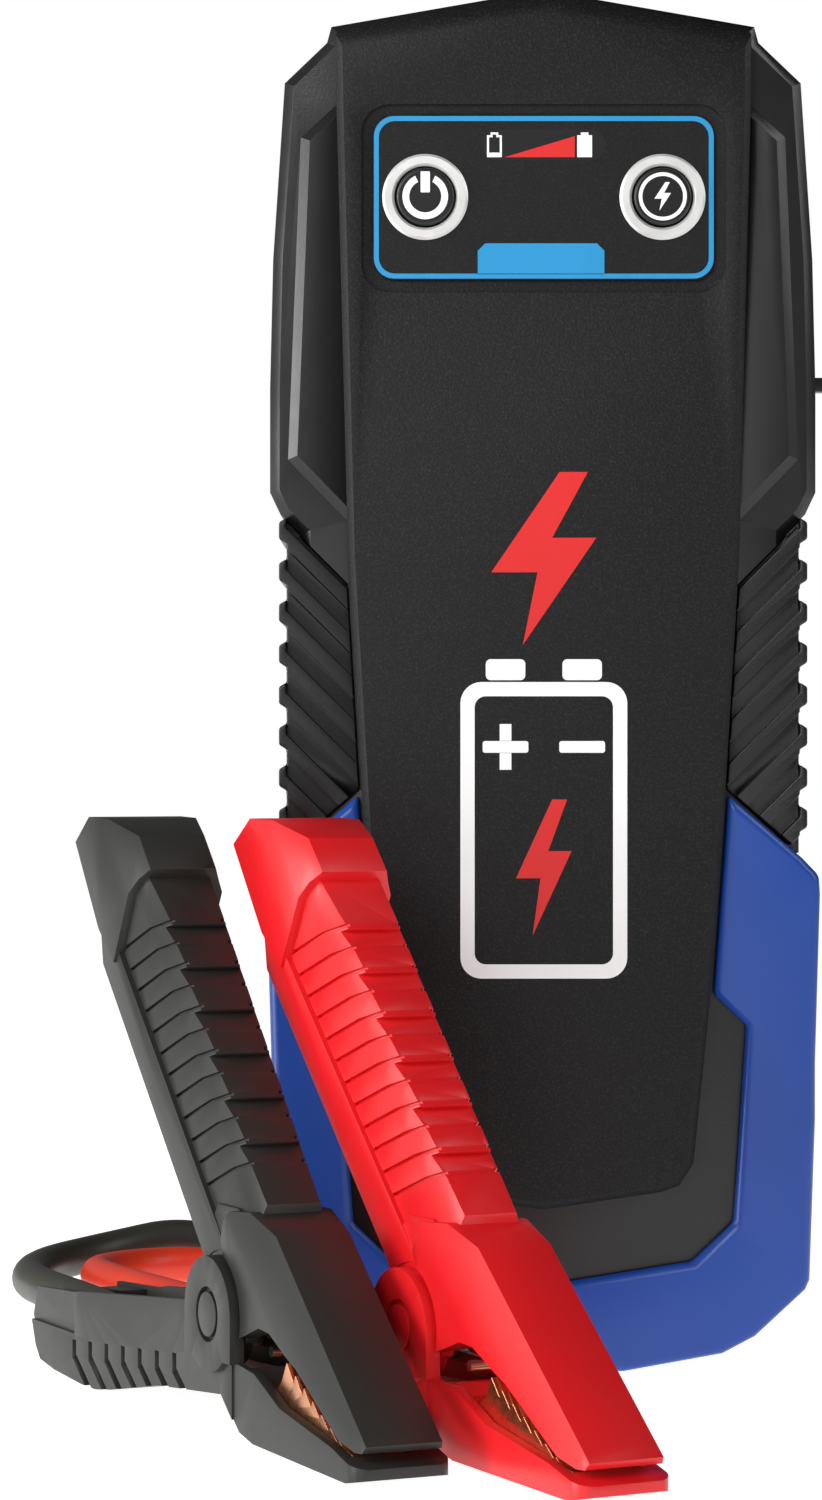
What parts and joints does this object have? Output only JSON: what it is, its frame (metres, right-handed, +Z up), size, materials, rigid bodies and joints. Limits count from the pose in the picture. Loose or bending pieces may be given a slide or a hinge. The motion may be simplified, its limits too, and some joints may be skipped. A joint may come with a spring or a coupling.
{
  "type": "jump starter pack",
  "caption": "Upright lithium jump starter pack with a blue lower bumper, ribbed side grips, two front buttons and a set of unplugged clamp leads.",
  "frame": {"origin": "centre of the flat foot that the pack stands on", "axes": "+X to the right of the pack seen from the front, +Y to its back, +Z up; the control panel faces -Y"},
  "size_m": [0.1372, 0.2061, 0.225],
  "materials": {
    "cable_black": "silicone sheath",
    "copper": "bright copper plate",
    "clamp_black": "satin nylon",
    "steel": "zinc plated",
    "button_black": "satin cap",
    "ring_silver": "satin plated",
    "cell_silver": "laminate pouch",
    "board_green": "solder mask",
    "tray_grey": "moulded tray",
    "plug_black": "moulded nylon",
    "overlay_black": "printed film",
    "panel_black": "fine stippled plastic",
    "shell_black": "fine satin moulded plastic",
    "window_clear": "clear light guide",
    "board_part": "moulded part",
    "grip_black": "matt rubber",
    "bumper_blue": "satin moulded plastic",
    "label_grey": "printed label, blank",
    "cable_red": "silicone sheath",
    "clamp_red": "satin nylon"
  },
  "bodies": {
    "leads": {"black_cable": "cable_black", "black_crimp": "copper", "black_lower_jaw": "copper", "black_lower_lever": "clamp_black", "black_pivot_pin": "clamp_black", "black_spring": "steel", "black_strain_relief": "clamp_black", "plug_boot": "plug_black", "plug_contacts": "copper", "plug_housing": "plug_black", "red_cable": "cable_red", "red_crimp": "copper", "red_lower_jaw": "copper", "red_lower_lever": "clamp_red", "red_pivot_pin": "clamp_red", "red_spring": "steel", "red_strain_relief": "clamp_red"},
    "black_clamp_top": {"black_upper_jaw": "copper", "black_upper_lever": "clamp_black"},
    "pack": {"board_screws": "steel", "boost_button_ring": "ring_silver", "bus_bars": "copper", "case_screws": "steel", "cell_1": "cell_silver", "cell_2": "cell_silver", "cell_3": "cell_silver", "cell_4": "cell_silver", "cell_board": "board_green", "cell_tray": "tray_grey", "charge_socket": "plug_black", "control_board": "board_green", "control_overlay": "overlay_black", "cover_pin": "steel", "front_panel": "panel_black", "front_shell": "shell_black", "gauge_window": "window_clear", "jump_contacts": "copper", "jump_relay": "board_part", "jump_socket": "plug_black", "left_grip": "grip_black", "lower_bumper": "bumper_blue", "main_board": "board_green", "port_bezel": "plug_black", "power_button_ring": "ring_silver", "rating_label": "label_grey", "rear_shell": "shell_black", "right_grip": "grip_black", "status_leds": "window_clear", "tact_switches": "board_part", "usb_socket": "steel"},
    "boost_button": {"boost_button": "button_black"},
    "port_cover": {"port_cover": "grip_black"},
    "power_button": {"power_button": "button_black"},
    "red_clamp_top": {"red_upper_jaw": "copper", "red_upper_lever": "clamp_red"}
  },
  "joints": [
    {"name": "power_button_press", "type": "slide", "parent": "pack", "child": "power_button", "axis": [0, 1, 0], "range_m": [0, 0.0006], "stiffness_N_per_m": 800, "springref_m": -0.001},
    {"name": "boost_button_press", "type": "slide", "parent": "pack", "child": "boost_button", "axis": [0, 1, 0], "range_m": [0, 0.0006], "stiffness_N_per_m": 800, "springref_m": -0.001},
    {"name": "port_cover_hinge", "type": "hinge", "parent": "pack", "child": "port_cover", "pos_m": [0.0433, 0.0094, 0.161], "axis": [0, 0, 1], "range_deg": [0, 105]},
    {"name": "leads_slide", "type": "slide", "parent": "pack", "child": "leads", "axis": [-1, 0, 0], "range_m": [0, 0.16]},
    {"name": "black_clamp_hinge", "type": "hinge", "parent": "leads", "child": "black_clamp_top", "pos_m": [-0.0436, -0.074, 0.0178], "axis": [-0.9018, -0.4321, 0], "range_deg": [0, 30], "stiffness_Nm_per_rad": 0.06, "springref_deg": -22.92, "deforming": ["black_spring"]},
    {"name": "red_clamp_hinge", "type": "hinge", "parent": "leads", "child": "red_clamp_top", "pos_m": [-0.0156, -0.0878, 0.0178], "axis": [-0.8813, -0.4726, 0], "range_deg": [0, 30], "stiffness_Nm_per_rad": 0.06, "springref_deg": -22.92, "deforming": ["red_spring"]}
  ]
}
